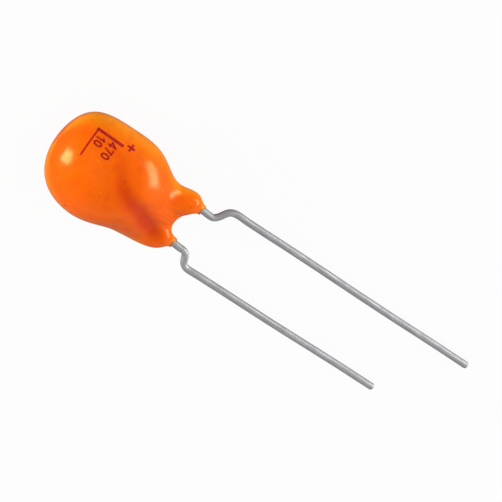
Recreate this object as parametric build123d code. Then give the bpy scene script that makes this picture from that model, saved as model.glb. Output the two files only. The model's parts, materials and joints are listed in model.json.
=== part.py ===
from build123d import *
import os
from math import cos, degrees, pi, radians, sqrt, tan

import numpy as np
from scipy.interpolate import CubicSpline

# Dipped tantalum bead capacitor with two kinked wire leads, lying loose on a table.
# Each piece is made in the plane of the leads, and the whole part is laid down at the end.
# In that plane x runs along the leads to their tips and is 0 where the coating ends,
# y runs towards the positive lead, and z points out of the marked face. Lengths are millimetres.

# Leads of tinned wire
LEAD_DIAMETER = 0.5
LEAD_PITCH = 5.08
EXIT_PITCH = 3.0
KINK_CENTRE = 1.2
KINK_ANGLE = 55
JOG_ANGLE = 40
POSITIVE_JOG_X = -1.3
NEGATIVE_JOG_X = -2.6
BEND_RADIUS = 0.5
TIP_CHAMFER = 0.1
POSITIVE_REACH = 23.2
NEGATIVE_REACH = 18.8

# Sintered anode and the layers grown and painted on it
PELLET_DIAMETER = 3.8
PELLET_LENGTH = 4.8
PELLET_CHAMFER = 0.3
PELLET_OFFSET = 0.4
NECK_LENGTH = 4.9
DIOXIDE_THICKNESS = 0.06
GRAPHITE_THICKNESS = 0.05
SILVER_THICKNESS = 0.06
GRAPHITE_SETBACK = 0.35
SILVER_SETBACK = 0.55

# Riser wire out of the anode, its washer, and the joints to both leads
RISER_DIAMETER = 0.5
RISER_EMBEDDED = 2.6
RISER_FREE_LENGTH = 2.6
WASHER_DIAMETER = 2.0
WASHER_THICKNESS = 0.3
WASHER_CLEARANCE = 0.4
WELD_GAP = 0.08
WELD_LENGTH = 1.1
WELD_COVER = 0.1
WELD_CHAMFER = 0.08
SOLDER_SETBACK = 0.5
SOLDER_LENGTH = 3.4
SOLDER_WIDTH = 1.3
SOLDER_COVER = 0.12
SOLDER_SINK = 0.15
SOLDER_GAP = 0.06
SOLDER_CHAMFER = 0.15

# Coating of dipped resin: how thick it lies over the core, and its outline on the marked face.
# The pairs are for the positive and for the negative side.
COAT_CROWN = 1.5
COAT_FACE = 0.88
COAT_SIDE = (0.95, 1.12)
LEG_TIP_RADIUS = 0.36
LEG_X = (-1.02, -0.86)
LEG_SWELL = 0.32
WAIST_X = (-2.54, -2.33)
WAIST_REACH = (2.07, 2.71)
SHOULDER_SETBACK = (0.18, -0.01)
SHOULDER_DROP = (0.38, 0.85)
BELLY_SETBACK = 0.2
CORNER_SETBACK = (0.85, 1.25)
CORNER_DROP = (0.8, 0.72)

# Half thickness of the coating's head, from the belly down the flank to the fork
FLANK_STEP = 1.3
FLANK_FALL = 0.15
NECK_COVER = 0.3
YOKE_HALF_HEIGHT = 1.72
WAIST_HALF_HEIGHT = 1.25
FORK_HALF_HEIGHT = 0.85
FORK_SLOPE = -0.2

# Ribs of the coating, from a leg's end to the crown: the turn round the crotch where each starts,
# in degrees, the half height that it has while it lies in a leg, and the point that it bends towards
RIB_TURNS = (90, 66, 45, 30, 18, 8, 0)
RIB_HEIGHTS = (LEG_TIP_RADIUS, 0.66, 0.95, 1.3, 1.6, 1.8, 1.8)
RIB_BEND_X = (0, -1, -2.4, -5.5, -7.5, -8.3, -8.4)
RIB_BEND_Y = (EXIT_PITCH / 2, EXIT_PITCH / 2, 1.1, 0.65, 0.35, 0.2, 0)
LEG_FLARE = 0.1

# Where a leg's round section passes into the head's, behind the leg ends
BLEND_START = 1.3
BLEND_LENGTH = 2.6

# How finely the coating's surface is laid out, and how finely the part is levelled
STATIONS_ALONG = 61
STATIONS_ROUND = 19
STATIONS_OUTLINE = 2000
SURFACE_TOLERANCE = 0.004
LEVEL_TOLERANCE = 0.002
LEVELLING_STEPS = 5
OUTER_PIECES = ("epoxy_coating", "positive_lead", "negative_lead")

LEAD_RADIUS = LEAD_DIAMETER / 2
RISER_RADIUS = RISER_DIAMETER / 2
LAYERS = DIOXIDE_THICKNESS + GRAPHITE_THICKNESS + SILVER_THICKNESS
CORE_RADIUS = PELLET_DIAMETER / 2 + LAYERS
WELD_Y = PELLET_OFFSET + RISER_RADIUS + WELD_GAP / 2
POSITIVE_WELD_Y = WELD_Y + WELD_GAP / 2 + LEAD_RADIUS
NEGATIVE_SOLDER_Y = PELLET_OFFSET - CORE_RADIUS - SOLDER_GAP - LEAD_RADIUS
LEG_Y = EXIT_PITCH / 2
CROTCH_RADIUS = LEG_Y - LEG_TIP_RADIUS
POSITIVE_SIDE = PELLET_OFFSET + CORE_RADIUS + COAT_SIDE[0]
NEGATIVE_SIDE = LEAD_RADIUS + COAT_SIDE[1] - NEGATIVE_SOLDER_Y
BELLY_X = -NECK_LENGTH - PELLET_LENGTH / 2 - BELLY_SETBACK
CROWN_X = -NECK_LENGTH - PELLET_LENGTH - LAYERS - COAT_CROWN
MIDDLE_Y = (POSITIVE_SIDE - NEGATIVE_SIDE) / 2
HALF_THICKNESS = CORE_RADIUS + COAT_FACE


def along_x(diameter, start, length, y=PELLET_OFFSET):
    """Round bar that runs from x = start in the direction of the lead tips."""
    return Pos(start, y, 0) * extrude(Plane.YZ * Circle(diameter / 2), length)


def pellet_blank(growth):
    """The pellet, grown outwards by the layers that lie on it, its chamfers too."""
    bar = along_x(
        PELLET_DIAMETER + 2 * growth,
        -NECK_LENGTH - PELLET_LENGTH - growth,
        PELLET_LENGTH + 2 * growth,
    )
    return chamfer(bar.edges(), PELLET_CHAMFER + growth * (2 - sqrt(2)))


def jacket(inner_growth, outer_growth, setback):
    """A painted cup over the pellet's sides and far end, open short of the end with the riser."""
    rim = Plane((-NECK_LENGTH - setback, 0, 0), z_dir=(1, 0, 0))
    shell = pellet_blank(outer_growth) - pellet_blank(inner_growth)
    return split(shell, bisect_by=rim, keep=Keep.BOTTOM)


def anode():
    """Riser, washer, pellet and its three layers, by node name."""
    graphite_outside = DIOXIDE_THICKNESS + GRAPHITE_THICKNESS
    riser = along_x(RISER_DIAMETER, -NECK_LENGTH - RISER_EMBEDDED, RISER_EMBEDDED + RISER_FREE_LENGTH)
    washer = along_x(WASHER_DIAMETER, -NECK_LENGTH, WASHER_THICKNESS) - riser
    return {
        "riser_wire": riser,
        "insulating_washer": washer,
        "anode_pellet": pellet_blank(0) - riser,
        "manganese_dioxide_layer": pellet_blank(DIOXIDE_THICKNESS) - pellet_blank(0) - washer - riser,
        "graphite_layer": jacket(DIOXIDE_THICKNESS, graphite_outside, GRAPHITE_SETBACK),
        "silver_layer": jacket(graphite_outside, LAYERS, SILVER_SETBACK),
    }


def bent_lead(inner_end, inner_y, jog_x, side, reach):
    """Lead from its joint inside the coating, out along the leg, over the kink and to its tip.

    The jog that the coating hides has plain mitred corners.
    """
    leg_y = side * LEG_Y
    outer_y = side * LEAD_PITCH / 2
    kink = abs(outer_y - leg_y) / tan(radians(KINK_ANGLE))
    jog = abs(inner_y - leg_y) / tan(radians(JOG_ANGLE))
    path = FilletPolyline(
        (inner_end, inner_y),
        (jog_x - jog, inner_y),
        (jog_x, leg_y),
        (KINK_CENTRE - kink / 2, leg_y),
        (KINK_CENTRE + kink / 2, outer_y),
        (reach, outer_y),
        radius=(0, 0, BEND_RADIUS, BEND_RADIUS),
    )
    start = Plane(path @ 0, z_dir=path % 0)
    wire = sweep(start * Circle(LEAD_RADIUS), path=path, transition=Transition.RIGHT)
    return chamfer(wire.edges().group_by(Axis.X)[-1], TIP_CHAMFER)


def bead(start, y, length, half_width, half_height, bevel, neighbours):
    """Oval bead of metal along x, with bevelled ends and the pieces that it joins taken out of it."""
    oval = Plane.YZ * Ellipse(half_width, half_height)
    blob = Pos(start, y, 0) * extrude(oval, length)
    blob = chamfer(blob.edges(), bevel)
    for neighbour in neighbours:
        blob -= neighbour
    return blob


def ribs():
    """Half sections of the coating, from the positive leg's end over the crown to the negative leg's.

    A rib starts on the crotch's edge, bends towards a second point and ends on the outline. Each row
    holds the outline's x and y, the second point's x and y, the turn round the crotch in degrees
    where the rib starts, and the half height that it has while it lies in a leg.
    """
    arms = []
    for side, sign, reach in ((0, 1, POSITIVE_SIDE), (1, -1, NEGATIVE_SIDE)):
        outline = [
            (0, LEG_Y + LEG_TIP_RADIUS),
            (LEG_X[side], LEG_Y + LEG_TIP_RADIUS + LEG_SWELL),
            (WAIST_X[side], WAIST_REACH[side]),
            (-NECK_LENGTH + SHOULDER_SETBACK[side], reach - SHOULDER_DROP[side]),
            (BELLY_X, reach),
            (CROWN_X + CORNER_SETBACK[side], reach - CORNER_DROP[side]),
        ]
        shapes = zip(outline, RIB_BEND_X, RIB_BEND_Y, RIB_TURNS, RIB_HEIGHTS)
        arms.append(
            [
                (x, sign * y, bend_x, sign * bend_y, sign * turn, height)
                for (x, y), bend_x, bend_y, turn, height in shapes
            ]
        )
    crown = (CROWN_X, MIDDLE_Y, RIB_BEND_X[-1], RIB_BEND_Y[-1], RIB_TURNS[-1], RIB_HEIGHTS[-1])
    return np.array([*arms[0], crown, *reversed(arms[1])], float)


def head_height(x):
    """Half thickness of the coating's head at x: full at the belly, domed towards the crown."""
    flank = {
        BELLY_X: HALF_THICKNESS,
        BELLY_X + FLANK_STEP: HALF_THICKNESS - FLANK_FALL,
        -NECK_LENGTH: CORE_RADIUS + NECK_COVER,
        -NECK_LENGTH + FLANK_STEP: YOKE_HALF_HEIGHT,
        WAIST_X[0]: WAIST_HALF_HEIGHT,
        LEG_X[0]: FORK_HALF_HEIGHT,
    }
    profile = CubicSpline(list(flank), list(flank.values()), bc_type=((1, 0), (1, FORK_SLOPE)))
    dome = np.clip((BELLY_X - x) / (BELLY_X - CROWN_X), 0, 1)
    return profile(np.clip(x, BELLY_X, LEG_X[0])) * np.sqrt(1 - dome**2)


def coating_points():
    """Points of the coating's upper half, in rows along the ribs.

    In a leg the height follows half a circle from the crotch's edge to the outline. In the head it
    follows an ellipse between the two sides of the outline. One passes smoothly into the other.
    """
    rows = ribs()
    outline_x, outline_y = rows[:, 0], rows[:, 1]
    place = np.concatenate([[0], np.cumsum(np.hypot(np.diff(outline_x), np.diff(outline_y)))])
    turning = degrees(1 / CROTCH_RADIUS)
    start = [-1, 0, -1, 0, -turning, LEG_FLARE]
    finish = [1, 0, 1, 0, -turning, -LEG_FLARE]
    rails = CubicSpline(place, rows, bc_type=((1, start), (1, finish)))
    share = np.linspace(0, 1, STATIONS_ALONG)
    crowded = (share + (1 - np.cos(pi * share)) / 2) / 2
    bent = rails(crowded * place[-1])
    outline, bend, turn, leg_height = bent[:, 0:2], bent[:, 2:4], np.radians(bent[:, 4]), bent[:, 5]
    edge = CROTCH_RADIUS * np.stack([-np.cos(turn), np.sin(turn)], axis=-1)

    swing = np.linspace(0, pi, STATIONS_ROUND)
    across = ((1 - np.cos(swing)) / 2)[None, :, None]
    plan = (1 - across) ** 2 * edge[:, None] + 2 * across * (1 - across) * bend[:, None]
    plan = plan + across**2 * outline[:, None]
    x, y = plan[..., 0], plan[..., 1]

    fine = rails(np.linspace(0, place[-1], STATIONS_OUTLINE))
    top = fine[:, 0].argmin()
    upper_y = np.interp(x, fine[top::-1, 0], fine[top::-1, 1])
    lower_y = np.interp(x, fine[top:, 0], fine[top:, 1])
    half_width = np.maximum((upper_y - lower_y) / 2, 0.001)
    off_middle = np.clip((y - (upper_y + lower_y) / 2) / half_width, -1, 1)
    head = head_height(x) * np.sqrt(1 - off_middle**2)
    leg = leg_height[:, None] * np.sin(swing)
    into_head = np.clip((-x - BLEND_START) / BLEND_LENGTH, 0, 1)
    into_head = into_head**2 * (3 - 2 * into_head)
    z = (1 - into_head) * leg + into_head * head
    z[:, [0, -1]] = 0
    return np.stack([x, y, z], axis=-1)


def coating_blank():
    """The coating as a solid: its upper half, the same mirrored, and both legs' flat ends."""
    rows = [[tuple(point) for point in row] for row in coating_points()]
    upper = Face.make_surface_from_array_of_points(rows, tol=SURFACE_TOLERANCE, min_deg=3, max_deg=5)
    lower = upper.mirror(Plane.XY)
    rims = upper.edges().sort_by(Edge.length)[:2]
    ends = [Face(Wire([rim, rim.mirror(Plane.XY)])) for rim in rims]
    return Solid(Shell([upper, lower, *ends]))


def capacitor():
    """Every piece in the plane of the leads, by node name, with the coating last."""
    pieces = anode()
    weld_end = -NECK_LENGTH + WASHER_THICKNESS + WASHER_CLEARANCE
    solder_end = -NECK_LENGTH - SOLDER_SETBACK - SOLDER_LENGTH
    positive = bent_lead(weld_end, POSITIVE_WELD_Y, POSITIVE_JOG_X, 1, POSITIVE_REACH)
    negative = bent_lead(solder_end, NEGATIVE_SOLDER_Y, NEGATIVE_JOG_X, -1, NEGATIVE_REACH)
    pieces["positive_lead"] = positive
    pieces["negative_lead"] = negative
    pieces["weld_nugget"] = bead(
        weld_end + WELD_COVER,
        WELD_Y,
        WELD_LENGTH,
        LEAD_DIAMETER - WELD_COVER / 2,
        LEAD_RADIUS + WELD_COVER,
        WELD_CHAMFER,
        [pieces["riser_wire"], positive],
    )
    pieces["cathode_solder"] = bead(
        solder_end - SOLDER_COVER,
        NEGATIVE_SOLDER_Y + SOLDER_SINK,
        SOLDER_LENGTH,
        LEAD_RADIUS + SOLDER_COVER + SOLDER_SINK,
        SOLDER_WIDTH / 2,
        SOLDER_CHAMFER,
        [pellet_blank(LAYERS), negative],
    )
    coating = coating_blank()
    for piece in pieces.values():
        coating -= piece
    pieces["epoxy_coating"] = coating
    return pieces


def mesh_points(piece):
    """Points of a fine mesh of a piece, which give its true extent."""
    points, _ = piece.tessellate(LEVEL_TOLERANCE)
    return np.array([tuple(point) for point in points])


def lay_down(pieces):
    """Turn the part about the line under both lead tips until its belly is level with them."""
    hinge = Axis((NEGATIVE_REACH, -LEAD_PITCH / 2, 0), (POSITIVE_REACH - NEGATIVE_REACH, LEAD_PITCH, 0))
    lever = NEGATIVE_REACH - BELLY_X
    tilt = 0
    for _ in range(LEVELLING_STEPS):
        belly = mesh_points(pieces["epoxy_coating"].rotate(hinge, tilt))[:, 2].min()
        tips = mesh_points(pieces["positive_lead"].rotate(hinge, tilt))[:, 2].min()
        tilt += degrees((tips - belly) / lever)
    return {name: piece.rotate(hinge, tilt) for name, piece in pieces.items()}


def on_origin(pieces):
    """Stand the part on z = 0 with the middle of its outline over the origin."""
    points = np.concatenate([mesh_points(pieces[name]) for name in OUTER_PIECES])
    low, high = points.min(axis=0), points.max(axis=0)
    shift = Pos(-(low[0] + high[0]) / 2, -(low[1] + high[1]) / 2, -low[2])
    return {name: shift * piece for name, piece in pieces.items()}


os.makedirs("parts", exist_ok=True)
for node, piece in on_origin(lay_down(capacitor())).items():
    export_step(piece, f"parts/{node}.step")
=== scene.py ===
"""Dipped tantalum bead capacitor with two kinked leads, lying on a pale floor in soft studio light."""

import json
import logging
from dataclasses import dataclass
from enum import Enum
from math import pi
from typing import Any, ClassVar, Optional, Sequence, Union

import bpy
import numpy as np
from mathutils import Matrix

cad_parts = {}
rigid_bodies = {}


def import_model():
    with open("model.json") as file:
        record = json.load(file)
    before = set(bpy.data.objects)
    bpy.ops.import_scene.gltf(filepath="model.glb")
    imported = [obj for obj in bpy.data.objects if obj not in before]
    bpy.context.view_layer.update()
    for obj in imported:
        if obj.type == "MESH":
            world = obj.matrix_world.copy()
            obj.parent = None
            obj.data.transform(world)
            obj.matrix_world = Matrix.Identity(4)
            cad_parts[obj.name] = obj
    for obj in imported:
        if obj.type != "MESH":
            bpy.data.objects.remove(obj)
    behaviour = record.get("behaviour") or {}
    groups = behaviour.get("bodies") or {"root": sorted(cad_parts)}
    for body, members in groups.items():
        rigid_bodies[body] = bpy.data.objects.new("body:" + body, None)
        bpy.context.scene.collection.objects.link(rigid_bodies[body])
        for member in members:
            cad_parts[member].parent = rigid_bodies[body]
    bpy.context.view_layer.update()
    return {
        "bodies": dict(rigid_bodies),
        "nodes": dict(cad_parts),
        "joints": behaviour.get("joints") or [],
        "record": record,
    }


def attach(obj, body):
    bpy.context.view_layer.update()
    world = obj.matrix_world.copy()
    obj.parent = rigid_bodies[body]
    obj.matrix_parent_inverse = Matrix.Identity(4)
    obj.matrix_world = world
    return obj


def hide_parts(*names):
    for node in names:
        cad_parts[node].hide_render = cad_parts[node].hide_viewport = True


LOG = logging.getLogger("capacitor")
MM = 0.001
WHITE = (1, 1, 1, 1)
BLACK = (0, 0, 0, 1)
Number = Union[int, float]


class Value:
    """A shader socket that takes part in plain arithmetic."""

    def __init__(self, graph: "Graph", socket: bpy.types.NodeSocket) -> None:
        """Wrap a socket.

        Args:
            graph: The node tree that the socket belongs to.
            socket: The output socket.
        """
        self.graph = graph
        self.socket = socket

    def _math(self, operation: str, *inputs: Any) -> "Value":
        """Add one Math node.

        Args:
            operation: The Math node's operation.
            inputs: Values or numbers for its sockets, in order.

        Returns:
            The node's result.
        """
        node = self.graph.node("ShaderNodeMath", {"operation": operation}, dict(enumerate(inputs)))
        return Value(self.graph, node.outputs[0])

    def __add__(self, other: Any) -> "Value":
        """Sum of two values."""
        return self._math("ADD", self, other)

    __radd__ = __add__

    def __sub__(self, other: Any) -> "Value":
        """Difference of two values."""
        return self._math("SUBTRACT", self, other)

    def __rsub__(self, other: Any) -> "Value":
        """Difference with this value taken off."""
        return self._math("SUBTRACT", other, self)

    def __mul__(self, other: Any) -> "Value":
        """Product of two values."""
        return self._math("MULTIPLY", self, other)

    __rmul__ = __mul__

    def above(self, threshold: Number, softness: Number) -> "Value":
        """Mask that goes smoothly from 0 to 1 around a threshold.

        Args:
            threshold: Value at the middle of the step.
            softness: Width of the step.

        Returns:
            The mask.
        """
        inputs = {"Value": self, "From Min": threshold - softness / 2, "From Max": threshold + softness / 2}
        node = self.graph.node("ShaderNodeMapRange", {"interpolation_type": "SMOOTHSTEP"}, inputs)
        return Value(self.graph, node.outputs["Result"])


class Space(Enum):
    """Where a pattern's coordinates come from."""

    OBJECT = "object"
    ALONG = "along"


class Graph:
    """A node tree, which starts empty."""

    def __init__(self, owner: Union[bpy.types.Material, bpy.types.World]) -> None:
        """Take the tree of a material or of the world and empty it.

        Args:
            owner: The material or the world.
        """
        owner.use_nodes = True
        self.tree = owner.node_tree
        self.tree.nodes.clear()

    def node(self, kind: str, settings: dict[str, Any], inputs: dict[Any, Any]) -> bpy.types.Node:
        """Add a node of any kind.

        Args:
            kind: The node's type name.
            settings: Its settings, which are set first.
            inputs: Values, colours or links for its sockets, by name or number.

        Returns:
            The node.
        """
        node = self.tree.nodes.new(kind)
        for key, value in settings.items():
            setattr(node, key, value)
        for key, value in inputs.items():
            self.feed(node.inputs[key], value)
        return node

    def feed(self, socket: bpy.types.NodeSocket, value: Any) -> None:
        """Link a socket to a value, or set it where the value is a number or a colour.

        Args:
            socket: The input socket.
            value: A Value, a socket, a number or a tuple.
        """
        if isinstance(value, Value):
            value = value.socket
        if isinstance(value, bpy.types.NodeSocket):
            self.tree.links.new(value, socket)
        else:
            socket.default_value = value


class Paint(Graph):
    """The node tree of one material, with its Principled shader at the end."""

    def __init__(self, name: str) -> None:
        """Start a material.

        Args:
            name: The material's name.
        """
        self.material = bpy.data.materials.new(name)
        super().__init__(self.material)
        self.shader = self.node("ShaderNodeBsdfPrincipled", {}, {})
        self.output = self.node("ShaderNodeOutputMaterial", {}, {"Surface": self.shader.outputs[0]})

    def place(self, space: Space, scale: Sequence[Number] = (1, 1, 1)) -> bpy.types.NodeSocket:
        """Coordinates of the surface in millimetres, stretched by a scale.

        Args:
            space: The object's own coordinates, or those that follow a wire.
            scale: Factor on each axis.

        Returns:
            The vector socket.
        """
        if space is Space.OBJECT:
            source = self.node("ShaderNodeTexCoord", {}, {}).outputs["Object"]
            factor = tuple(1000 * share for share in scale)
        else:
            source = self.node("ShaderNodeAttribute", {"attribute_name": space.value}, {}).outputs["Vector"]
            factor = tuple(scale)
        settings = {"vector_type": "POINT"}
        return self.node("ShaderNodeMapping", settings, {"Vector": source, "Scale": factor}).outputs[0]

    def attribute(self, name: str) -> Value:
        """A number that the mesh carries on its points."""
        return Value(self, self.node("ShaderNodeAttribute", {"attribute_name": name}, {}).outputs["Fac"])

    def noise(
        self, vector: bpy.types.NodeSocket, scale: Number, detail: Number = 3, rough: Number = 0.5
    ) -> Value:
        """Cloudy pattern.

        Args:
            vector: Coordinates in millimetres.
            scale: Lumps to the millimetre.
            detail: Number of finer layers.
            rough: Weight of the finer layers.

        Returns:
            The pattern, around 0.5.
        """
        inputs = {"Vector": vector, "Scale": scale, "Detail": detail, "Roughness": rough}
        return Value(self, self.node("ShaderNodeTexNoise", {}, inputs).outputs["Fac"])

    def cells(self, vector: bpy.types.NodeSocket, scale: Number) -> Value:
        """Distance to the nearest of many scattered points, in cells."""
        node = self.node("ShaderNodeTexVoronoi", {"feature": "F1"}, {"Vector": vector, "Scale": scale})
        return Value(self, node.outputs["Distance"])

    def mix(self, factor: Any, first: Any, second: Any) -> bpy.types.NodeSocket:
        """Blend of two colours.

        Args:
            factor: Share of the second colour.
            first: Colour tuple or socket.
            second: Colour tuple or socket.

        Returns:
            The colour socket.
        """
        return self.node("ShaderNodeMix", {"data_type": "RGBA"}, {0: factor, 6: first, 7: second}).outputs[2]

    def bump(self, height: Value, depth_mm: Number, strength: Number = 1.0) -> None:
        """Give the shader's normal a relief.

        Args:
            height: The relief, from 0 to 1.
            depth_mm: Its depth in millimetres.
            strength: How much of it shows.
        """
        inputs = {"Height": height, "Distance": depth_mm * MM, "Strength": strength}
        self.feed(self.shader.inputs["Normal"], self.node("ShaderNodeBump", {}, inputs).outputs[0])

    def finish(self, **inputs: Any) -> bpy.types.Material:
        """Set the shader's sockets, whose names are given with low lines for spaces.

        Args:
            inputs: Values by socket name.

        Returns:
            The material.
        """
        for key, value in inputs.items():
            self.feed(self.shader.inputs[key.replace("_", " ")], value)
        return self.material


def rgb(red: int, green: int, blue: int) -> tuple[float, float, float, float]:
    """Screen colour as the shader's linear colour.

    Args:
        red: Red from 0 to 255.
        green: Green from 0 to 255.
        blue: Blue from 0 to 255.

    Returns:
        The colour with full alpha.
    """
    screen = np.array([red, green, blue]) / 255
    linear = np.where(screen <= 0.04045, screen / 12.92, ((screen + 0.055) / 1.055) ** 2.4)
    return (*(float(c) for c in linear), 1.0)


@dataclass(frozen=True)
class DippedResin:
    """Glossy orange resin with random mottle, light scratches and a few dark specks; painted shade makes it
    deeper in the crease, a painted glow makes it yellower where it runs thin on the steep rims, and painted
    shadow darkens it round the lead exits.
    """

    body: tuple = rgb(243, 96, 0)
    # Yellow of the painted glow on the steep rims, where the resin runs thin; the light scratches use it too.
    rim_glow_scratch_and_thin_ink: tuple = rgb(255, 150, 0)
    # Deep orange of the painted shade along the crease; the random mottle uses it too.
    crease_shade_and_mottle: tuple = rgb(208, 52, 0)
    speck: tuple = rgb(120, 58, 8)
    # Dark olive of the painted shadow in the recess round each lead exit.
    edge: tuple = rgb(84, 68, 30)
    gloss: tuple = rgb(255, 244, 136)
    roughness: float = 0.21
    refraction: float = 1.4
    swirls: float = 0.55
    grain: float = 5.0
    mottle: float = 1.3
    specks: float = 1.15
    streaks: tuple = (0.7, 7, 3)
    waviness_mm: float = 0.12

    def material(self) -> bpy.types.Material:
        """Build the material.

        Returns:
            The material.
        """
        graph = Paint("dipped_resin")
        place = graph.place(Space.OBJECT)
        cloud = graph.noise(place, self.swirls, 2)
        fine = graph.noise(place, self.grain, 3)
        rim_glow_scratch_and_thin_ink = graph.attribute("rim_glow_scratch_and_thin_ink")
        crease_shade_and_mottle = graph.attribute("crease_shade_and_mottle")
        painted_exit_shadow = graph.attribute("painted_exit_shadow")
        # Painted glow: yellower where the surface turns steep towards the rims, broken by a random cloud.
        colour = graph.mix(rim_glow_scratch_and_thin_ink * 0.8 + (cloud - 0.5) * 0.25, self.body, self.rim_glow_scratch_and_thin_ink)
        # Painted shade: darker along the crease on the marked face.
        colour = graph.mix(crease_shade_and_mottle * 0.95 + (fine - 0.5) * 0.08, colour, self.crease_shade_and_mottle)
        mottle = graph.noise(place, self.mottle, 4, 0.6)
        colour = graph.mix(mottle.above(0.6, 0.26) * 0.3, colour, self.crease_shade_and_mottle)
        specks = graph.cells(place, self.specks)
        gate = graph.noise(place, 0.8, 0).above(0.53, 0.06)
        dark = (1 - specks.above(0.11, 0.1)) * gate
        colour = graph.mix(dark * 0.6, colour, self.speck)
        # Painted shadow round the lead exits.
        colour = graph.mix(painted_exit_shadow * 0.8, colour, self.edge)
        scratches = graph.noise(graph.place(Space.OBJECT, self.streaks), 1.1, 2).above(0.735, 0.03)
        colour = graph.mix(scratches * 0.35, colour, self.rim_glow_scratch_and_thin_ink)
        graph.bump(cloud * 0.75 + fine * 0.05 + (1 - dark) * 0.05, self.waviness_mm, 0.5)
        return graph.finish(
            Base_Color=colour,
            Roughness=self.roughness + (fine - 0.5) * 0.08 + scratches * 0.1,
            IOR=self.refraction,
            Specular_IOR_Level=0.5,
            Specular_Tint=self.gloss,
        )


@dataclass(frozen=True)
class TinnedWire:
    """Dull tin on drawn copper: lengthwise streaks, grey blotches and scuffs where it was bent."""

    light: tuple = rgb(188, 187, 189)
    dark: tuple = rgb(160, 159, 162)
    worn: tuple = rgb(214, 212, 208)
    metallic: float = 0.75
    roughness: float = 0.6
    relief_mm: float = 0.016

    def material(self) -> bpy.types.Material:
        """Build the material.

        Returns:
            The material.
        """
        graph = Paint("tinned_wire")
        streaks = graph.noise(graph.place(Space.ALONG, (0.5, 3.0, 3.0)), 1.4, 4, 0.6)
        blotches = graph.noise(graph.place(Space.ALONG, (1.0, 0.7, 0.7)), 1.3, 3)
        grain = graph.noise(graph.place(Space.ALONG, (6.0, 3.0, 3.0)), 4.0, 2)
        scuff = graph.attribute("scuff")
        colour = graph.mix(streaks.above(0.5, 0.34), self.dark, self.light)
        colour = graph.mix(blotches.above(0.56, 0.2) * 0.45, colour, self.dark)
        marks = grain.above(0.55, 0.16)
        colour = graph.mix(scuff * marks * 0.7, colour, self.worn)
        graph.bump(streaks * 0.6 + grain * 0.4 * (scuff + 0.35), self.relief_mm, 0.6)
        return graph.finish(
            Base_Color=colour,
            Metallic=self.metallic,
            Roughness=self.roughness + (blotches - 0.5) * 0.3 - scuff * marks * 0.2,
        )


@dataclass(frozen=True)
class GrainyMetal:
    """Metal with a grain: sintered powder, a drawn wire, silver paint or solder."""

    name: str
    light: tuple
    dark: tuple
    metallic: float
    roughness: float
    grain: float
    stretch: tuple = (1, 1, 1)
    depth: float = 0.02

    def material(self) -> bpy.types.Material:
        """Build the material.

        Returns:
            The material.
        """
        graph = Paint(self.name)
        place = graph.place(Space.OBJECT, self.stretch)
        grains = graph.cells(place, self.grain)
        cloud = graph.noise(place, self.grain / 6, 4)
        colour = graph.mix(grains * 0.9 + cloud * 0.6 - 0.2, self.dark, self.light)
        graph.bump(1 - grains + cloud * 0.5, self.depth, 0.6)
        return graph.finish(
            Base_Color=colour,
            Metallic=self.metallic,
            Roughness=self.roughness + (cloud - 0.5) * 0.25,
        )


@dataclass(frozen=True)
class MattCoat:
    """Dull coat without metal: fired dioxide, carbon paint or waxy plastic."""

    name: str
    light: tuple
    dark: tuple
    roughness: float
    lumps: float
    depth: float = 0.02

    def material(self) -> bpy.types.Material:
        """Build the material.

        Returns:
            The material.
        """
        graph = Paint(self.name)
        place = graph.place(Space.OBJECT)
        lumps = graph.noise(place, self.lumps, 5, 0.6)
        fine = graph.noise(place, self.lumps * 6, 2)
        colour = graph.mix(lumps.above(0.5, 0.5), self.dark, self.light)
        graph.bump(lumps * 0.7 + fine * 0.3, self.depth, 0.7)
        return graph.finish(Base_Color=colour, Roughness=self.roughness + (fine - 0.5) * 0.15)


@dataclass(frozen=True)
class PrintInk:
    """Dark red ink under the gloss, thinner in places so that the resin shows through."""

    ink: tuple = rgb(168, 6, 2)
    rim_glow_scratch_and_thin_ink: tuple = rgb(206, 40, 2)
    roughness: float = 0.28
    patches: float = 6.0

    def material(self) -> bpy.types.Material:
        """Build the material.

        Returns:
            The material.
        """
        graph = Paint("print_ink")
        place = graph.place(Space.OBJECT)
        patches = graph.noise(place, self.patches, 3)
        colour = graph.mix(patches.above(0.62, 0.3) * 0.6, self.ink, self.rim_glow_scratch_and_thin_ink)
        return graph.finish(
            Base_Color=colour,
            Roughness=self.roughness + (patches - 0.5) * 0.1,
            Specular_IOR_Level=0.3,
        )


FINISHES = {
    "sintered_anode": GrainyMetal("sintered_anode", rgb(120, 120, 126), rgb(70, 70, 76), 0.7, 0.62, 14.0),
    "riser_metal": GrainyMetal(
        "riser_metal", rgb(186, 188, 194), rgb(122, 124, 132), 1.0, 0.34, 9.0, (0.2, 1, 1), 0.008
    ),
    "washer_plastic": MattCoat("washer_plastic", rgb(240, 240, 236), rgb(222, 222, 216), 0.42, 2.2, 0.006),
    "dioxide": MattCoat("dioxide", rgb(62, 58, 55), rgb(30, 28, 27), 0.7, 3.5, 0.03),
    "graphite": MattCoat("graphite", rgb(78, 78, 82), rgb(50, 50, 54), 0.5, 2.6, 0.015),
    "silver_paint": GrainyMetal("silver_paint", rgb(214, 213, 210), rgb(170, 168, 164), 0.9, 0.48, 20.0),
    "solder": GrainyMetal("solder", rgb(214, 215, 216), rgb(160, 161, 164), 1.0, 0.22, 2.4, (1, 1, 1), 0.03),
}


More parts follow.
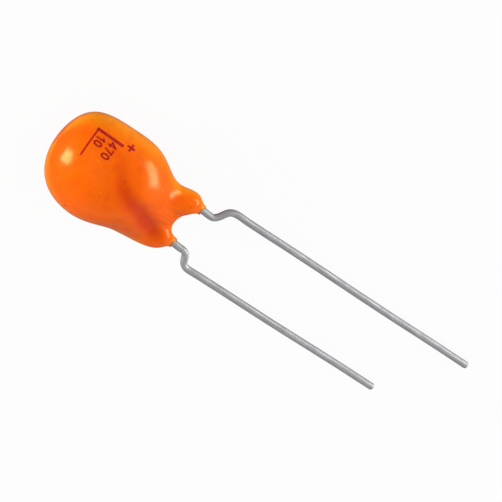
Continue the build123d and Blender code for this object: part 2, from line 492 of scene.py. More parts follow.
def clamped_spline(
    knots: np.ndarray, values: np.ndarray, at: np.ndarray, start: Sequence[Number], finish: Sequence[Number]
) -> np.ndarray:
    """Cubic spline with given slopes at both ends.

    Between knots the curve is a cubic whose second derivatives at the knots solve the usual
    tridiagonal system, so that slope and curvature run on smoothly.

    Args:
        knots: Rising parameters, shape (n,).
        values: Points at the knots, shape (n, k).
        at: Parameters to evaluate.
        start: Slope at the first knot.
        finish: Slope at the last knot.

    Returns:
        Points, shape (len(at), k).
    """
    step = np.diff(knots)[:, None]
    slope = np.diff(values, axis=0) / step
    size = len(knots)
    rows = np.arange(1, size - 1)
    system = np.zeros((size, size))
    system[rows, rows - 1] = step[:-1, 0]
    system[rows, rows] = 2 * (step[:-1, 0] + step[1:, 0])
    system[rows, rows + 1] = step[1:, 0]
    system[0, :2] = 2 * step[0, 0], step[0, 0]
    system[-1, -2:] = step[-1, 0], 2 * step[-1, 0]
    right = np.concatenate([[slope[0] - start], np.diff(slope, axis=0), [np.asarray(finish) - slope[-1]]])
    second = np.linalg.solve(system, 6 * right)
    span = np.clip(np.searchsorted(knots, at, side="right") - 1, 0, size - 2)
    d = (at - knots[span])[:, None]
    h = step[span]
    first = slope[span] - h * (2 * second[span] + second[span + 1]) / 6
    third = (second[span + 1] - second[span]) / (6 * h)
    return values[span] + d * (first + d * (second[span] / 2 + d * third))


def chord_lengths(points: np.ndarray) -> np.ndarray:
    """Length along a line of points, up to each of them."""
    return np.concatenate([[0], np.cumsum(np.linalg.norm(np.diff(points, axis=0), axis=1))])


def smooth_step(value: np.ndarray) -> np.ndarray:
    """Rise from 0 to 1 with level ends: 3 t squared less 2 t cubed."""
    t = np.clip(value, 0, 1)
    return t * t * (3 - 2 * t)


@dataclass
class LeadFrame:
    """The plane of the leads: x along them to the tips from the coating's end, y to the positive lead."""

    origin: np.ndarray
    axes: np.ndarray
    pin_x: ClassVar[float] = 15.2
    pin_y: ClassVar[float] = 2.54

    @classmethod
    def from_record(cls, record: dict[str, Any]) -> "LeadFrame":
        """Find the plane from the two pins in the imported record.

        Their shared axis is x. What is left of the line between them, once the part along x is
        taken off, is y.

        Args:
            record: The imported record.

        Returns:
            The frame.
        """
        pins = {mount["name"]: mount for mount in record["mounts"]}
        x = np.array(pins["positive_pin"]["axis"], float)
        x /= np.linalg.norm(x)
        positive = np.array(pins["positive_pin"]["pos_m"], float)
        negative = np.array(pins["negative_pin"]["pos_m"], float)
        between = positive - negative
        y = between - (between @ x) * x
        y /= np.linalg.norm(y)
        origin = positive - cls.pin_x * MM * x - cls.pin_y * MM * y
        return cls(origin, np.stack([x, y, np.cross(x, y)]))

    def to_row(self, points: np.ndarray) -> np.ndarray:
        """Points in millimetres in this frame as metres in the row frame."""
        return self.origin + (np.asarray(points, float) * MM) @ self.axes


def tube_mesh(
    name: str, tubes: np.ndarray, frame: LeadFrame, attributes: Optional[dict[str, np.ndarray]] = None
) -> bpy.types.Object:
    """Closed skins over rings of points, with a pole at each end.

    Neighbouring rings are joined by quads, and the first and the last ring by a fan to their middle.

    Args:
        name: The piece's name.
        tubes: Points in the lead frame in millimetres, shape (tubes, rings, points round, 3).
        frame: The lead frame.
        attributes: Numbers or vectors for each point, shape (rings, points round) or the same by 3.

    Returns:
        The object, at the origin.
    """
    number, count, around = tubes.shape[:3]
    poles = np.stack([tubes[:, 0].mean(axis=1), tubes[:, -1].mean(axis=1)], axis=1)
    points = frame.to_row(np.concatenate([tubes.reshape(number, -1, 3), poles], axis=1))
    ring = np.arange(around)
    after = (ring + 1) % around
    base = (np.arange(count - 1) * around)[:, None]
    quads = np.stack([base + ring, base + around + ring, base + around + after, base + after], axis=-1)
    first = count * around + np.zeros_like(ring)
    end = (count - 1) * around
    caps = np.concatenate(
        [np.stack([first, ring, after], axis=-1), np.stack([first + 1, end + after, end + ring], axis=-1)]
    )
    quads = quads.reshape(-1, 4)
    corner = points[:, quads]
    across = np.cross(corner[:, :, 1] - corner[:, :, 0], corner[:, :, 2] - corner[:, :, 0])
    volume = (across * corner[:, :, 0]).sum()
    offset = (np.arange(number) * (count * around + 2))[:, None, None]
    mesh = bpy.data.meshes.new(name)
    faces = (offset + quads).reshape(-1, 4).tolist() + (offset + caps).reshape(-1, 3).tolist()
    mesh.from_pydata(points.reshape(-1, 3).tolist(), [], faces)
    if volume < 0:
        mesh.flip_normals()
    mesh.polygons.foreach_set("use_smooth", np.ones(len(mesh.polygons), bool))
    for key, values in (attributes or {}).items():
        flat = values.reshape(count * around, -1)
        flat = np.concatenate([flat, flat[:1], flat[-1:]]).astype(np.float32)
        kind, slot = ("FLOAT", "value") if flat.shape[1] == 1 else ("FLOAT_VECTOR", "vector")
        mesh.attributes.new(key, kind, "POINT").data.foreach_set(slot, flat.ravel())
    mesh.update()
    piece = bpy.data.objects.new(name, mesh)
    bpy.context.scene.collection.objects.link(piece)
    return piece


@dataclass
class Coating:
    """The dipped body: a head over the anode that narrows to a waist and forks round a crotch."""

    frame: LeadFrame
    leg_y: float = 1.5
    crotch_radius: float = 1.14
    crotch_shift: tuple = (-0.03, -0.13)
    lead_radius: float = 0.25
    leg_tip: float = 0.36
    lip_length: float = 0.14
    lip_depth: float = 0.06
    recess: float = 0.2
    lead_gap: float = 0.004
    plug_radius: float = 0.12
    plug_depth: float = 0.05
    end_setback: float = 0.11
    end_slant: float = 0.24
    end_run: float = 1.2
    exit_shadow_fade: float = 0.11
    crowding: float = 0.55
    blend_start: float = 1.3
    blend_length: float = 2.6
    along: int = 460
    around: int = 192
    outline_x: tuple = (0, -0.95, -2.4, -4.78, -7.58, -10.52, -11.36, -10.15, -7.3, -4.9, -2.2, -0.75, 0)
    outline_y: tuple = (1.86, 2.24, 2.13, 3.14, 3.47, 2.9, 0.3, -2.62, -3.5, -2.98, -2.8, -2.28, -1.86)
    bend_x: tuple = (0, -1, -2.4, -5.5, -7.5, -8.3, -8.4)
    bend_y: tuple = (1.5, 1.5, 1.1, 0.65, 0.35, 0.2, 0)
    turns: tuple = (90, 66, 45, 30, 18, 8, 0)
    leg_heights: tuple = (0.36, 0.66, 0.95, 1.3, 1.6, 1.8, 1.8)
    leg_flare: float = 0.1
    flank_x: tuple = (-7.5, -6.2, -4.9, -3.6, -2.54, -1.02)
    flank_height: tuple = (2.96, 2.93, 2.5, 1.83, 1.25, 0.85)
    under_height: tuple = (2.93, 2.79, 2.37, 1.74, 1.25, 0.85)
    fork_slope: float = -0.2
    groove_x: tuple = (-8.6, -8.0, -7.0, -5.8, -4.6, -2.5, -1.2)
    groove_y: tuple = (2.0, 1.75, 0.75, 0.15, -0.2, -1.2, -1.55)
    groove_depth: tuple = (0.0, 0.06, 0.13, 0.17, 0.2, 0.2, 0.06)
    groove_width: float = 0.62
    groove_rise: tuple = (-9.2, 1.2)
    groove_fall: tuple = (-0.8, 0.8)
    full_crease_shade: float = 0.17
    swell_height: float = 0.03
    swell_fade: float = 0.7
    swell_along: tuple = (1.3, 0.7)
    swell_across: tuple = (1.1, 0.4)
    rim_glow_start: float = 0.3
    rim_glow_span: float = 0.66

    def rails(self, share: np.ndarray) -> np.ndarray:
        """Outline, bend point, turn and leg height as smooth functions of the way round the outline.

        Args:
            share: Places from 0 at the positive leg's end to 1 at the negative leg's.

        Returns:
            Rows of outline x and y, bend x and y, turn in radians and leg height.
        """
        outline = np.stack([self.outline_x, self.outline_y], axis=-1)
        half = np.stack([self.bend_x, self.bend_y, np.radians(self.turns), self.leg_heights], axis=-1)
        other = (half * [1, -1, -1, 1])[:-1][::-1]
        rows = np.concatenate([outline, np.concatenate([half, other])], axis=1)
        place = chord_lengths(outline)
        turning = 1 / self.crotch_radius
        start = np.array([-1, 0, -1, 0, -turning, self.leg_flare])
        finish = np.array([1, 0, 1, 0, -turning, -self.leg_flare])
        return clamped_spline(place, rows, share * place[-1], start, finish)

    def head_height(self, x: np.ndarray, marked: bool = True) -> np.ndarray:
        """Half thickness of the head: a spline along the flank and a round dome past the belly.

        Args:
            x: Places along the leads.
            marked: Whether it is for the marked face or for the one that it lies on.

        Returns:
            Half thickness in millimetres.
        """
        knots = np.array(self.flank_x, float)
        values = np.array(self.flank_height if marked else self.under_height, float)[:, None]
        crown = min(self.outline_x)
        at = np.clip(x, knots[0], knots[-1]).ravel()
        flat = clamped_spline(knots, values, at, [0.0], [self.fork_slope])
        dome = np.clip((knots[0] - x) / (knots[0] - crown), 0, 1)
        return flat.reshape(x.shape) * np.sqrt(1 - dome**2)

    def sides(self, x: np.ndarray) -> tuple[np.ndarray, np.ndarray]:
        """The outline's y on either side.

        Args:
            x: Places along the leads.

        Returns:
            y on the positive side and on the negative side.
        """
        fine = self.rails(np.linspace(0, 1, 4001))
        top = fine[:, 0].argmin()
        positive = np.interp(x, fine[top::-1, 0], fine[top::-1, 1])
        return positive, np.interp(x, fine[top:, 0], fine[top:, 1])

    def head(self, x: np.ndarray, y: np.ndarray, marked: bool = True) -> np.ndarray:
        """Height of the head over the plane of the leads: half an ellipse between the two sides.

        Args:
            x: Places along the leads.
            y: Places across them.
            marked: Whether it is for the marked face or for the one that it lies on.

        Returns:
            Heights, 0 on the outline.
        """
        upper, lower = self.sides(x)
        half_width = np.maximum((upper - lower) / 2, 0.001)
        off_middle = np.clip((y - (upper + lower) / 2) / half_width, -1, 1)
        return self.head_height(x, marked) * np.sqrt(1 - off_middle**2)

    def valley(self, x: np.ndarray, y: np.ndarray) -> np.ndarray:
        """Soft crease on the marked face where the resin drew in over the end of the anode.

        Its depth falls off from a curved line as a bell of the distance across, and changes along it.

        Args:
            x: Places along the leads.
            y: Places across them.

        Returns:
            Depth in millimetres.
        """
        line_x, line_y = np.array(self.groove_x), np.array(self.groove_y)
        middle = np.interp(x, line_x, line_y)
        slope = np.interp(x, (line_x[1:] + line_x[:-1]) / 2, np.diff(line_y) / np.diff(line_x))
        across = (y - middle) / np.sqrt(1 + slope**2)
        depth = np.interp(x, line_x, self.groove_depth)
        (start, rise), (stop, fall) = self.groove_rise, self.groove_fall
        inside = smooth_step((x - start) / rise) * smooth_step((stop - x) / fall)
        return depth * inside * np.exp(-((across / self.groove_width) ** 2))

    def uneven(self, x: np.ndarray, y: np.ndarray, height: np.ndarray, face: np.ndarray) -> np.ndarray:
        """Height with a valley and a slow swell on the marked face.

        Both fade out towards the outline. The swell is the product of a sine along and one across.

        Args:
            x: Places along the leads.
            y: Places across them.
            height: The even height.
            face: 1 on the marked face and -1 on the other.

        Returns:
            The uneven height.
        """
        fade = smooth_step(height / self.swell_fade)
        (along, begin), (across, shift) = self.swell_along, self.swell_across
        swell = self.swell_height * np.sin(along * x + begin) * np.cos(across * y + shift)
        return height + np.where(face > 0, fade * (swell - self.valley(x, y)), 0)

    def skin(self) -> tuple[np.ndarray, dict[str, np.ndarray]]:
        """Rings of points round the body, from the positive leg over the crown to the negative leg.

        In the plan each ring swings from the crotch's edge to the outline on a quadratic curve with a
        bend point. Its height is the sine of the swing in a leg, half an ellipse in the head, and a
        smooth blend of both between. The marked face dips along the valley. Each leg's end is set
        back, more so on the marked face, and rounds inwards to the lead.

        Returns:
            The rings, and the mesh attributes of the painted rim glow, the painted crease shade and the
            painted shadow round the lead exits.
        """
        share = np.linspace(0, 1, self.along)
        share = (1 - self.crowding) * share + self.crowding * (1 - np.cos(pi * share)) / 2
        bent = self.rails(share)
        swing = np.arange(self.around) * 2 * pi / self.around
        across = ((1 - np.cos(swing)) / 2)[None, :, None]
        edge = self.crotch_radius * np.stack([-np.cos(bent[:, 4]), np.sin(bent[:, 4])], axis=-1)
        edge = edge + np.cos(bent[:, 4])[:, None] ** 2 * np.array(self.crotch_shift)
        plan = (
            (1 - across) ** 2 * edge[:, None]
            + 2 * across * (1 - across) * bent[:, None, 2:4]
            + across**2 * bent[:, None, 0:2]
        )
        x, y = plan[..., 0], plan[..., 1]
        into_head = smooth_step((-x - self.blend_start) / self.blend_length)
        leg = bent[:, None, 5] * np.abs(np.sin(swing))
        face = np.sign(np.sin(swing))[None] * np.ones_like(x)
        head = np.where(face > 0, self.head(x, y), self.head(x, y, marked=False))
        height = (1 - into_head) * leg + into_head * head
        z = face * self.uneven(x, y, height, face)
        # Painted glow mask: rises where the surface turns steep towards the rims.
        steep = 1 - np.clip(height / np.maximum(self.head_height(x), 0.05), 0, 1)
        rim_glow_scratch_and_thin_ink = smooth_step((steep - self.rim_glow_start) / self.rim_glow_span)
        # Painted shade mask: follows the crease's depth on the marked face.
        crease_shade_and_mottle = np.clip(self.valley(x, y) / self.full_crease_shade, 0, 1) * (face > 0)
        # Painted shadow mask: rises towards each leg's end, round the lead exit.
        painted_exit_shadow = smooth_step((x + self.lip_length) / self.exit_shadow_fade)
        side = np.where(y > 0, 1, -1)
        back = np.clip((x + self.lip_length) / self.lip_length, 0, 1)
        shrink = 1 - self.lip_depth / self.leg_tip * (1 - np.sqrt(1 - back**2))
        y = side * self.leg_y + (y - side * self.leg_y) * shrink
        z = z * shrink
        slant = self.end_setback + self.end_slant * np.maximum(np.sin(swing), 0)[None] ** 2
        x = x - slant * smooth_step(1 + x / self.end_run)
        rings = self.close_legs(np.stack([x, y, z], axis=-1))
        pad = ((2, 2), (0, 0))
        attributes = {
            "rim_glow_scratch_and_thin_ink": np.pad(rim_glow_scratch_and_thin_ink, pad, mode="edge"),
            "crease_shade_and_mottle": np.pad(crease_shade_and_mottle, pad, mode="edge"),
            "painted_exit_shadow": np.pad(painted_exit_shadow, pad, constant_values=1),
        }
        return rings, attributes

    def close_legs(self, rings: np.ndarray) -> np.ndarray:
        """Add rings that carry both leg ends inwards to the lead and into it.

        Each added ring is the end ring drawn towards the lead's middle and set back.

        Args:
            rings: The rings of the body.

        Returns:
            The rings with two more at each end.
        """
        radii = np.array([self.plug_radius, self.lead_radius + self.lead_gap])[:, None, None]
        backs = np.array([[self.recess + self.plug_depth, 0, 0], [self.recess, 0, 0]])[:, None]
        added = []
        for ring, side in ((rings[0], 1), (rings[-1], -1)):
            middle = np.array([0, side * self.leg_y, 0])
            scale = radii / np.linalg.norm(ring - middle, axis=1).mean()
            added.append((ring - middle) * scale + middle - backs)
        return np.concatenate([added[0], rings, added[1][::-1]])

    def build(self, finish: DippedResin) -> bpy.types.Object:
        """Make the coating's piece.

        Args:
            finish: Its finish.

        Returns:
            The piece.
        """
        rings, attributes = self.skin()
        piece = tube_mesh("coating_skin", rings[None], self.frame, attributes)
        piece.data.materials.append(finish.material())
        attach(piece, "root")
        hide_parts("epoxy_coating")
        return piece


# Where the middle of each wire runs in the plane of the leads, from inside the resin to past its kink.
POSITIVE_ROUTE = (
    ((-4.2, 0.98), (-3.0, 0.98), (-2.1, 0.99), (-1.75, 1.13), (-1.45, 1.36), (-1.1, 1.49))
    + ((-0.4, 1.5), (0.0, 1.49), (0.55, 1.45), (0.83, 1.5), (1.02, 1.67), (1.22, 2.02))
    + ((1.41, 2.33), (1.62, 2.48), (2.0, 2.56), (2.9, 2.54), (3.6, 2.54))
)
NEGATIVE_ROUTE = (
    ((-8.8, -1.98), (-6.0, -1.98), (-4.2, -1.98), (-3.4, -1.97), (-3.05, -1.85), (-2.75, -1.62))
    + ((-2.4, -1.51), (-1.2, -1.5), (0.0, -1.53), (0.5, -1.57), (0.84, -1.6), (1.03, -1.72))
    + ((1.24, -2.04), (1.46, -2.36), (1.7, -2.5), (2.1, -2.55), (2.9, -2.54), (3.6, -2.54))
)


@dataclass
class Lead:
    """One round wire from inside the coating over its kink to a blunt tip."""

    name: str
    node: str
    frame: LeadFrame
    route: tuple
    tip_x: float
    kinks: tuple
    seed: float = 0.0
    radius: float = 0.25
    tip_rounding: float = 0.13
    tip_loss: float = 0.48
    kink_width: float = 0.22
    full_scuff: float = 0.1
    bow: float = 0.018
    bow_rate: float = 0.42
    bow_fades: tuple = (3, 4)
    dent: float = 0.004
    dent_rate: float = 2.1
    dent_phase: float = 0.6
    around: int = 40
    bent_step: float = 0.05
    straight_step: float = 0.2

    def centreline(self) -> np.ndarray:
        """Smooth line through the route's points, evenly spaced, then nearly straight to the tip.

        The line is a cubic spline over the length of the route's chords. The long run after it bows
        by a faint sine, which fades in after the kink and out towards the tip.

        Returns:
            Points in the plane of the leads.
        """
        route = np.array(self.route, float)
        place = chord_lengths(route)
        bent = np.linspace(0, place[-1], int(place[-1] / self.bent_step) + 1)
        line = clamped_spline(place, route, bent, [1.0, 0.0], [1.0, 0.0])
        run = np.arange(route[-1, 0] + self.straight_step, self.tip_x - self.tip_rounding, self.straight_step)
        past = run - route[-1, 0]
        fade_in, fade_out = self.bow_fades
        bow = self.bow * np.sin(past * self.bow_rate + self.seed) * smooth_step(past / fade_in)
        straight = np.stack([run, route[-1, 1] + bow * smooth_step((self.tip_x - run) / fade_out)], axis=-1)
        arc = np.sin(np.linspace(0, pi / 2, 9))
        end = self.tip_x - self.tip_rounding + self.tip_rounding * arc
        tip = np.stack([end, np.full_like(end, route[-1, 1])], axis=-1)
        return np.concatenate([line, straight, tip])

    def build(self, finish: TinnedWire) -> bpy.types.Object:
        """Carry a circle along the centreline and make the lead's piece.

        The circle's radius shrinks on a quarter circle at the tip. At each kink it is squeezed
        across and spread upwards by a bell of the distance, as bending leaves it, and it has a faint
        unevenness all along.

        Args:
            finish: Its finish.

        Returns:
            The piece.
        """
        line = self.centreline()
        along = chord_lengths(line)
        tangent = np.gradient(line, along, axis=0)
        tangent /= np.linalg.norm(tangent, axis=1)[:, None]
        turn = np.arange(self.around) * 2 * pi / self.around
        left = self.tip_x - line[:, 0]
        quarter = np.clip(1 - left / self.tip_rounding, 0, 1)
        blunt = 1 - self.tip_loss * (1 - np.sqrt(1 - quarter**2))
        squeeze = np.zeros(len(line))
        for kink, amount in self.kinks:
            squeeze += amount * np.exp(-(((line[:, 0] - kink) / self.kink_width) ** 2))
        wave = self.dent * np.sin(along * self.dent_rate + self.seed)[:, None]
        wave = wave * np.cos(turn * 2 + self.dent_phase)
        radius = self.radius * blunt[:, None] * (1 + wave - squeeze[:, None] * np.cos(2 * turn) * 0.5)
        out = np.stack([-tangent[:, 1], tangent[:, 0], np.zeros(len(line))], axis=-1)
        up = np.array([0.0, 0.0, 1.0])
        centre = np.concatenate([line, np.zeros((len(line), 1))], axis=1)
        rings = centre[:, None] + radius[..., None] * (
            np.cos(turn)[None, :, None] * out[:, None] + np.sin(turn)[None, :, None] * up
        )
        start = along[:, None] + self.seed * 7
        follow = np.stack(np.broadcast_arrays(start, np.cos(turn)[None], np.sin(turn)[None]), axis=-1)
        scuff = np.clip(squeeze / self.full_scuff, 0, 1)[:, None] * np.ones(self.around)
        piece = tube_mesh(self.name, rings[None], self.frame, {"along": follow, "scuff": scuff})
        piece.data.materials.append(finish.material())
        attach(piece, "root")
        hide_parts(self.node)
        return piece


class Figure(Enum):
    """The strokes of the plain figures, in a box one high: each is a line through its points."""

    ZERO = (
        ((0.26, 0.0), (0.06, 0.14), (0.0, 0.5), (0.06, 0.86), (0.26, 1.0))
        + ((0.46, 0.86), (0.52, 0.5), (0.46, 0.14), (0.26, 0.0))
    )
    ONE = ((0.06, 0.78), (0.32, 1.0), (0.32, 0.0))
    FOUR = ((0.42, 0.0), (0.42, 1.0), (0.0, 0.3), (0.56, 0.3))
    SEVEN = ((0.0, 1.0), (0.52, 1.0), (0.2, 0.0))


# Cosine and sine of 35 degrees, by which the marking's first axis dips below the picture's right side.
MARK_TURN = (0.819, 0.574)


@dataclass
class Marking:
    """Ink on the marked face: a plus, a two-legged bar and two lines of plain figures.

    It was pressed on along one direction, so it is drawn on a flat pad and carried down to the resin.
    On the pad, the first axis runs towards the leads and the second the way the figures read.
    """

    coating: Coating
    frame: LeadFrame
    press: np.ndarray
    towards_leads: np.ndarray
    reading: np.ndarray
    corner: tuple = (-10.08, 2.62, 1.0)
    long_leg: float = 1.82
    short_leg: float = 1.97
    long_width: float = 0.19
    short_width: float = 0.12
    plus_at: tuple = (2.36, -0.2)
    plus_arm: float = 0.27
    plus_width: float = 0.15
    figure_width: float = 0.105
    lines: tuple = (
        ((Figure.FOUR, Figure.SEVEN, Figure.ZERO), (1.08, 0.2), 0.52, 0.43),
        ((Figure.ONE, Figure.ZERO), (0.24, 0.3), 0.52, 0.36),
    )
    rise: float = 0.008
    sink: float = 0.03
    slide: float = 2.5
    halvings: int = 36
    stroke_rings: int = 25

    def on_resin(self, pad: np.ndarray) -> np.ndarray:
        """Carry pad points down onto the resin.

        Each point slides along the press direction to where its height over the plane of the leads
        is the face's. The place is found by halving an interval.

        Args:
            pad: Points on the pad, shape (..., 2).

        Returns:
            Points in the lead frame, shape (..., 3).
        """
        start = np.array(self.corner) + pad[..., :1] * self.towards_leads + pad[..., 1:] * self.reading
        low, high = np.full(start.shape[:-1], -self.slide), np.full(start.shape[:-1], self.slide)
        for _ in range(self.halvings):
            middle = (low + high) / 2
            point = start + middle[..., None] * self.press
            x, y = point[..., 0], point[..., 1]
            over = point[..., 2] > self.coating.uneven(x, y, self.coating.head(x, y), np.ones_like(x))
            high, low = np.where(over, middle, high), np.where(over, low, middle)
        return start + high[..., None] * self.press

    def strokes(
        self, name: str, ends: np.ndarray, width: np.ndarray, finish: bpy.types.Material
    ) -> bpy.types.Object:
        """Make one piece from straight strokes of ink.

        A stroke is a flat ribbon that follows the resin: its section, a thin box, is carried along
        the stroke, and its ends run on by half its width, so that strokes that meet close a corner.

        Args:
            name: The piece's name.
            ends: Both ends of each stroke on the pad, shape (n, 2, 2).
            width: Width of each stroke.
            finish: The ink.

        Returns:
            The piece.
        """
        run = ends[:, 1] - ends[:, 0]
        length = np.linalg.norm(run, axis=1, keepdims=True)
        run = run / length
        side = np.stack([-run[:, 1], run[:, 0]], axis=-1)
        half = width[:, None] / 2
        along = np.linspace(0, 1, self.stroke_rings)[None, :, None, None]
        begin = (ends[:, 0] - run * half)[:, None, None]
        stop = (ends[:, 1] + run * half)[:, None, None]
        one_way = np.linspace(-1, 1, 5)
        across = np.concatenate([one_way, one_way[::-1]])
        middle = begin + (stop - begin) * along
        pad = middle + across[None, None, :, None] * (half * side)[:, None, None]
        lift = np.repeat([self.rise, -self.sink], len(one_way))
        points = self.on_resin(pad) + lift[None, None, :, None] * self.press
        piece = tube_mesh(name, points, self.frame)
        piece.data.polygons.foreach_set("use_smooth", np.zeros(len(piece.data.polygons), bool))
        piece.data.materials.append(finish)
        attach(piece, "root")
        return piece

    def figure_ends(self) -> np.ndarray:
        """Both ends of every stroke of the figures, on the pad.

        A figure's own height runs towards the leads and its own width the way the lines read.

        Returns:
            Ends, shape (n, 2, 2).
        """
        ends = []
        for figures, (start, first), height, pitch in self.lines:
            for number, figure in enumerate(figures):
                shape = np.array(figure.value, float) * height
                on_pad = np.stack([start + shape[:, 1], first + number * pitch + shape[:, 0]], axis=-1)
                ends.append(np.stack([on_pad[:-1], on_pad[1:]], axis=1))
        return np.concatenate(ends)

    def build(self, finish: PrintInk) -> list[bpy.types.Object]:
        """Make the bar, the plus and the figures.

        Args:
            finish: The ink.

        Returns:
            The pieces.
        """
        ink = finish.material()
        bar = np.array([[[0, 0], [self.long_leg, 0]], [[0, 0], [0, self.short_leg]]], float)
        centre = np.array(self.plus_at)
        arm = np.array([[[-1, 0], [1, 0]], [[0, -1], [0, 1]]], float) * (self.plus_arm - self.plus_width / 2)
        figures = self.figure_ends()
        return [
            self.strokes("mark_bar", bar, np.array([self.long_width, self.short_width]), ink),
            self.strokes("mark_plus", centre + arm, np.full(2, self.plus_width), ink),
            self.strokes("mark_figures", figures, np.full(len(figures), self.figure_width), ink),
        ]


@dataclass
class Core:
    """The pieces under the resin, which keep their own solids and get their finishes."""

    nodes: dict[str, bpy.types.Object]
    subparts: list[dict[str, str]]

    def dress(self, finishes: dict[str, Any]) -> list[str]:
        """Give each carried-over piece the finish of its slot.

        Args:
            finishes: Finishes by slot name.

        Returns:
            The names of the pieces that were dressed.
        """
        made: dict[str, bpy.types.Material] = {}
        dressed = []
        for part in self.subparts:
            slot = part["material_slot"]
            if slot not in finishes:
                continue
            if slot not in made:
                made[slot] = finishes[slot].material()
            mesh = self.nodes[part["node"]].data
            mesh.materials.clear()
            mesh.materials.append(made[slot])
            dressed.append(part["node"])
        return dressed


@dataclass
class Viewpoint:
    """Where the camera stands, in the lead frame and in millimetres."""

    direction: tuple = (-0.4643, 0.3003, 0.8332)
    target: tuple = (7.15, 0.0, 0.0)
    distance: float = 200.0
    roll: float = 0.5744
    pixels_per_mm: float = 14.9315
    target_pixel: tuple = (270.557, 279.971)
    frame_pixels: int = 502

    def axes(self) -> tuple[np.ndarray, np.ndarray, np.ndarray]:
        """Directions of the view, in the lead frame.

        Returns:
            To the picture's right, down in the picture, and towards the camera.
        """
        back = np.array(self.direction) / np.linalg.norm(self.direction)
        level = np.array([1.0, 0, 0]) - back * back[0]
        level /= np.linalg.norm(level)
        below = -np.cross(back, level)
        right = np.cos(self.roll) * level - np.sin(self.roll) * below
        down = np.sin(self.roll) * level + np.cos(self.roll) * below
        return right, down, back


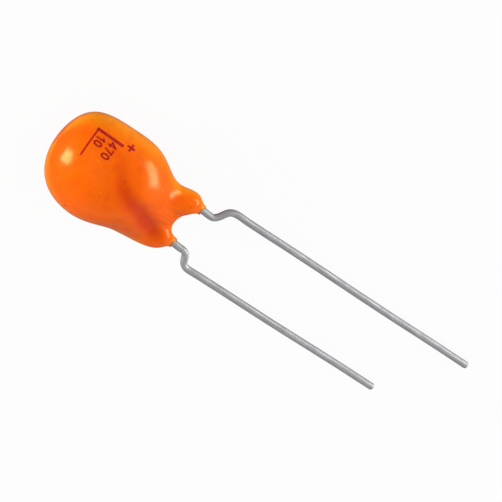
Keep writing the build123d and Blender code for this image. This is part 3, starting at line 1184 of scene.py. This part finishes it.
@dataclass
class Studio:
    """Pale floor, white surroundings, soft lamps and the camera."""

    frame: LeadFrame
    view: Viewpoint
    floor_size: float = 1.2
    floor_height: float = -0.00002
    floor_cells: int = 4
    floor_colour: tuple = (0.72, 0.72, 0.72, 1.0)
    floor_glow: float = 0.93
    floor_mirrored: float = 0.7
    ambient: float = 0.55
    lamp_aim: tuple = (-3.0, 0.0, 0.5)
    sensor_mm: float = 36.0
    clip_m: tuple = (0.005, 10.0)
    lamps: tuple = (
        ("lamp_far", (-0.906, -0.385, 0.14), 160.0, (34.0, 70.0), 0.17, True),
        ("lamp_near", (0.77, 0.6, 0.16), 160.0, (130.0, 66.0), 0.21, True),
        ("lamp_top", (-0.3, 0.1, 1.0), 260.0, (220.0, 220.0), 0.22, False),
    )

    def lay_floor(self) -> bpy.types.Object:
        """Flat floor just under the part: a grid of points at one height.

        Returns:
            The floor.
        """
        cells, row = np.arange(self.floor_cells), self.floor_cells + 1
        line = np.linspace(-self.floor_size / 2, self.floor_size / 2, row)
        x, y = np.meshgrid(line, line)
        points = np.stack([x, y, np.full_like(x, self.floor_height)], axis=-1).reshape(-1, 3)
        first = (cells[:, None] * row + cells).reshape(-1)
        faces = np.stack([first, first + 1, first + row + 1, first + row], axis=-1)
        mesh = bpy.data.meshes.new("floor")
        mesh.from_pydata(points.tolist(), [], faces.tolist())
        floor = bpy.data.objects.new("floor", mesh)
        bpy.context.scene.collection.objects.link(floor)
        mesh.materials.append(self.floor_finish())
        return floor

    def floor_finish(self) -> bpy.types.Material:
        """Matt white that shows nearly white to the camera and still takes a soft shadow.

        Returns:
            The material.
        """
        graph = Paint("floor_paint")
        path = graph.node("ShaderNodeLightPath", {}, {})
        glow = graph.node("ShaderNodeEmission", {}, {"Color": WHITE, "Strength": 1.0})
        share = Value(graph, path.outputs["Is Camera Ray"]) * self.floor_glow
        mirrored = Value(graph, path.outputs["Is Glossy Ray"]) * self.floor_mirrored
        paint = graph.mix(mirrored, self.floor_colour, BLACK)
        both = graph.node(
            "ShaderNodeMixShader", {}, {0: share, 1: graph.shader.outputs[0], 2: glow.outputs[0]}
        )
        graph.feed(graph.output.inputs["Surface"], both.outputs[0])
        return graph.finish(Base_Color=paint, Roughness=0.9, Specular_IOR_Level=0.0)

    def surround(self) -> None:
        """Even world light, which is white where the camera looks at it."""
        world = bpy.data.worlds.new("surroundings")
        bpy.context.scene.world = world
        graph = Graph(world)
        seen = graph.node("ShaderNodeLightPath", {}, {}).outputs["Is Camera Ray"]
        dim = graph.node("ShaderNodeBackground", {}, {"Color": WHITE, "Strength": self.ambient})
        white = graph.node("ShaderNodeBackground", {}, {"Color": WHITE, "Strength": 1.0})
        both = graph.node("ShaderNodeMixShader", {}, {0: seen, 1: dim.outputs[0], 2: white.outputs[0]})
        graph.node("ShaderNodeOutputWorld", {}, {"Surface": both.outputs[0]})

    def aimed(self, thing: bpy.types.Object, place: np.ndarray, right: np.ndarray, back: np.ndarray) -> None:
        """Put a lamp or the camera in place.

        Args:
            thing: The object.
            place: Its place in the row frame.
            right: Direction of its right side.
            back: Direction away from what it looks at.
        """
        turned = np.eye(4)
        turned[:3, 0] = right
        turned[:3, 1] = np.cross(back, right)
        turned[:3, 2] = back
        turned[:3, 3] = place
        thing.matrix_world = Matrix(turned.tolist())

    def hang_lamps(self) -> None:
        """Hang the soft lamps, each turned to the middle of the part."""
        middle = self.frame.to_row(np.array(self.lamp_aim))
        for name, direction, distance, (width, height), watts, glossy in self.lamps:
            data = bpy.data.lights.new(name, "AREA")
            data.shape = "RECTANGLE"
            data.size, data.size_y, data.energy = width * MM, height * MM, watts
            lamp = bpy.data.objects.new(name, data)
            bpy.context.scene.collection.objects.link(lamp)
            lamp.visible_glossy = glossy
            back = np.array(direction) @ self.frame.axes
            back /= np.linalg.norm(back)
            right = np.cross([0.0, 0, 1.0] if abs(back[2]) < 0.9 else [0.0, 1.0, 0], back)
            right /= np.linalg.norm(right)
            self.aimed(lamp, middle + back * distance * MM, right, back)

    def set_camera(self) -> None:
        """Stand the camera where the picture was taken from, with the same framing."""
        right, _, back = self.view.axes()
        data = bpy.data.cameras.new("camera")
        data.sensor_width = self.sensor_mm
        pixels = self.view.frame_pixels
        data.lens = self.view.pixels_per_mm * self.view.distance / pixels * data.sensor_width
        data.shift_x = -(self.view.target_pixel[0] - pixels / 2) / pixels
        data.shift_y = (self.view.target_pixel[1] - pixels / 2) / pixels
        data.clip_start, data.clip_end = self.clip_m
        camera = bpy.data.objects.new("camera", data)
        bpy.context.scene.collection.objects.link(camera)
        place = self.frame.to_row(np.array(self.view.target) + self.view.distance * back)
        self.aimed(camera, place, right @ self.frame.axes, back @ self.frame.axes)
        bpy.context.scene.camera = camera

    def build(self) -> None:
        """Make the floor, the surroundings, the lamps and the camera."""
        self.lay_floor()
        self.surround()
        self.hang_lamps()
        self.set_camera()
        bpy.context.scene.view_settings.view_transform = "Standard"


def main() -> None:
    """Build every sub-assembly in order and note each piece."""
    logging.basicConfig(level=logging.INFO, format="%(message)s")
    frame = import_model()
    leads = LeadFrame.from_record(frame["record"])
    view = Viewpoint()
    Studio(leads, view).build()
    LOG.info("studio ready")

    coating = Coating(leads)
    LOG.info("made %s", coating.build(DippedResin()).name)
    positive_kinks = ((0.78, 0.1), (1.55, 0.14))
    negative_kinks = ((0.85, 0.09), (1.6, 0.12))
    wires = (
        Lead("positive_wire", "positive_lead", leads, POSITIVE_ROUTE, 23.2, positive_kinks),
        Lead("negative_wire", "negative_lead", leads, NEGATIVE_ROUTE, 18.8, negative_kinks, seed=2.4),
    )
    finish = TinnedWire()
    for wire in wires:
        LOG.info("made %s", wire.build(finish).name)
    right, down, back = view.axes()
    cosine, sine = MARK_TURN
    marking = Marking(coating, leads, back, cosine * right + sine * down, cosine * down - sine * right)
    for piece in marking.build(PrintInk()):
        LOG.info("made %s", piece.name)
    core = Core(frame["nodes"], frame["record"]["subparts"])
    for node in core.dress(FINISHES):
        LOG.info("dressed %s", node)


if __name__ == "__main__":
    main()
